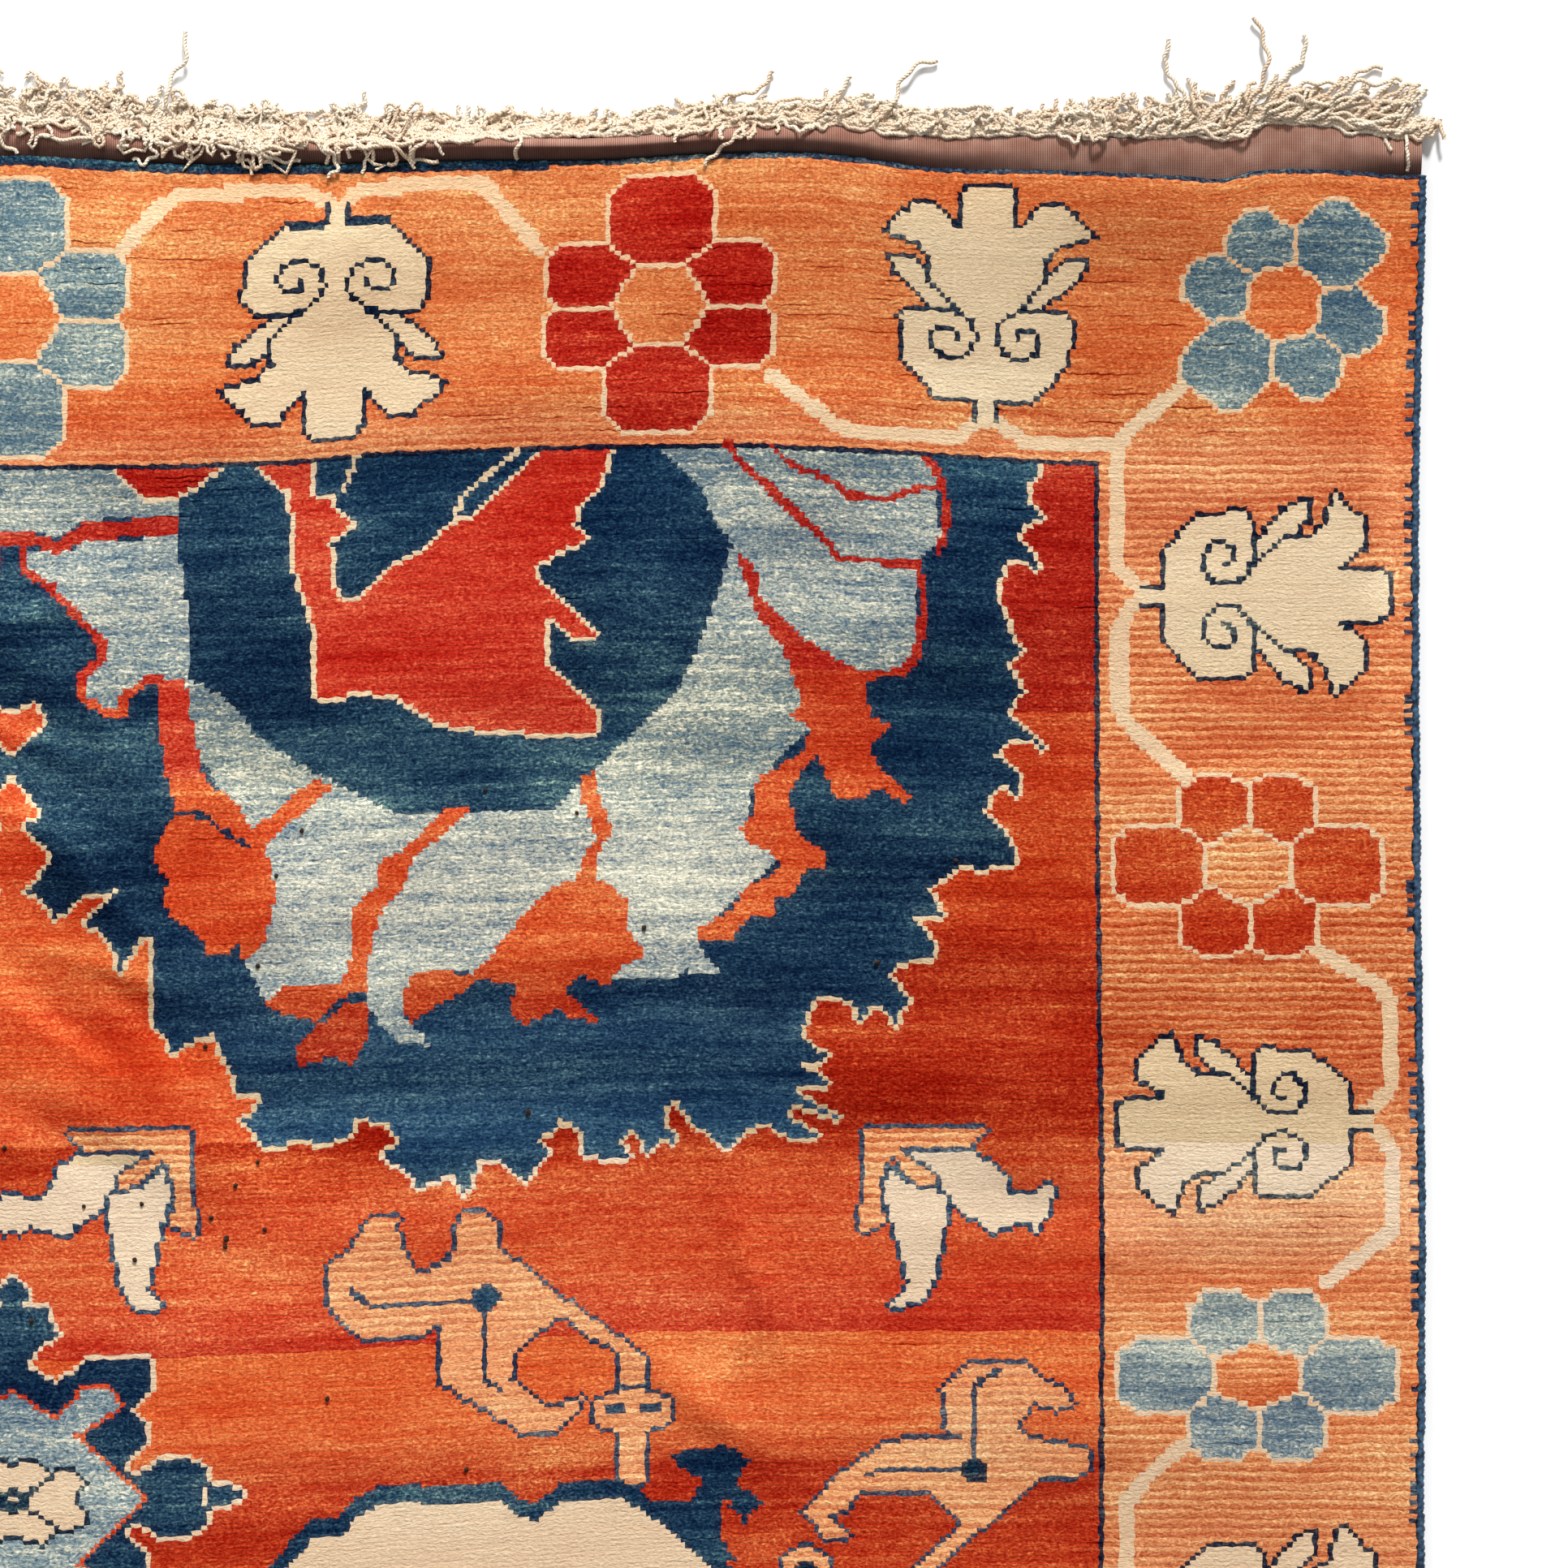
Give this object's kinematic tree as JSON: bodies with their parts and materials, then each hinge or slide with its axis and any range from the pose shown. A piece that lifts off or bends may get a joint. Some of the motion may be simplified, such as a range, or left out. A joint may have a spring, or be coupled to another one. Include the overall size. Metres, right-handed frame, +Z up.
{
  "type": "harshang carpet",
  "caption": "Hand-knotted wool pile carpet lying flat, with bound sides, flat-woven ends that buckle up a little, and tangled cotton fringes.",
  "frame": {"origin": "on the floor under the middle of the carpet", "axes": "+X across the carpet, +Y along it towards the head end, +Z up out of the pile"},
  "size_m": [2.4941, 3.2103, 0.0205],
  "materials": {
    "pile_wool": "cut wool pile",
    "binding_wool": "overcast wool yarn",
    "flat_weave_wool": "weft-faced wool weave",
    "fringe_cotton": "twisted cotton yarn"
  },
  "bodies": {
    "root": {"knotted_pile": "pile_wool", "side_binding_right": "binding_wool", "side_binding_left": "binding_wool", "flat_weave_head": "flat_weave_wool", "flat_weave_foot": "flat_weave_wool", "fringe_head": "fringe_cotton", "fringe_foot": "fringe_cotton"}
  },
  "joints": []
}
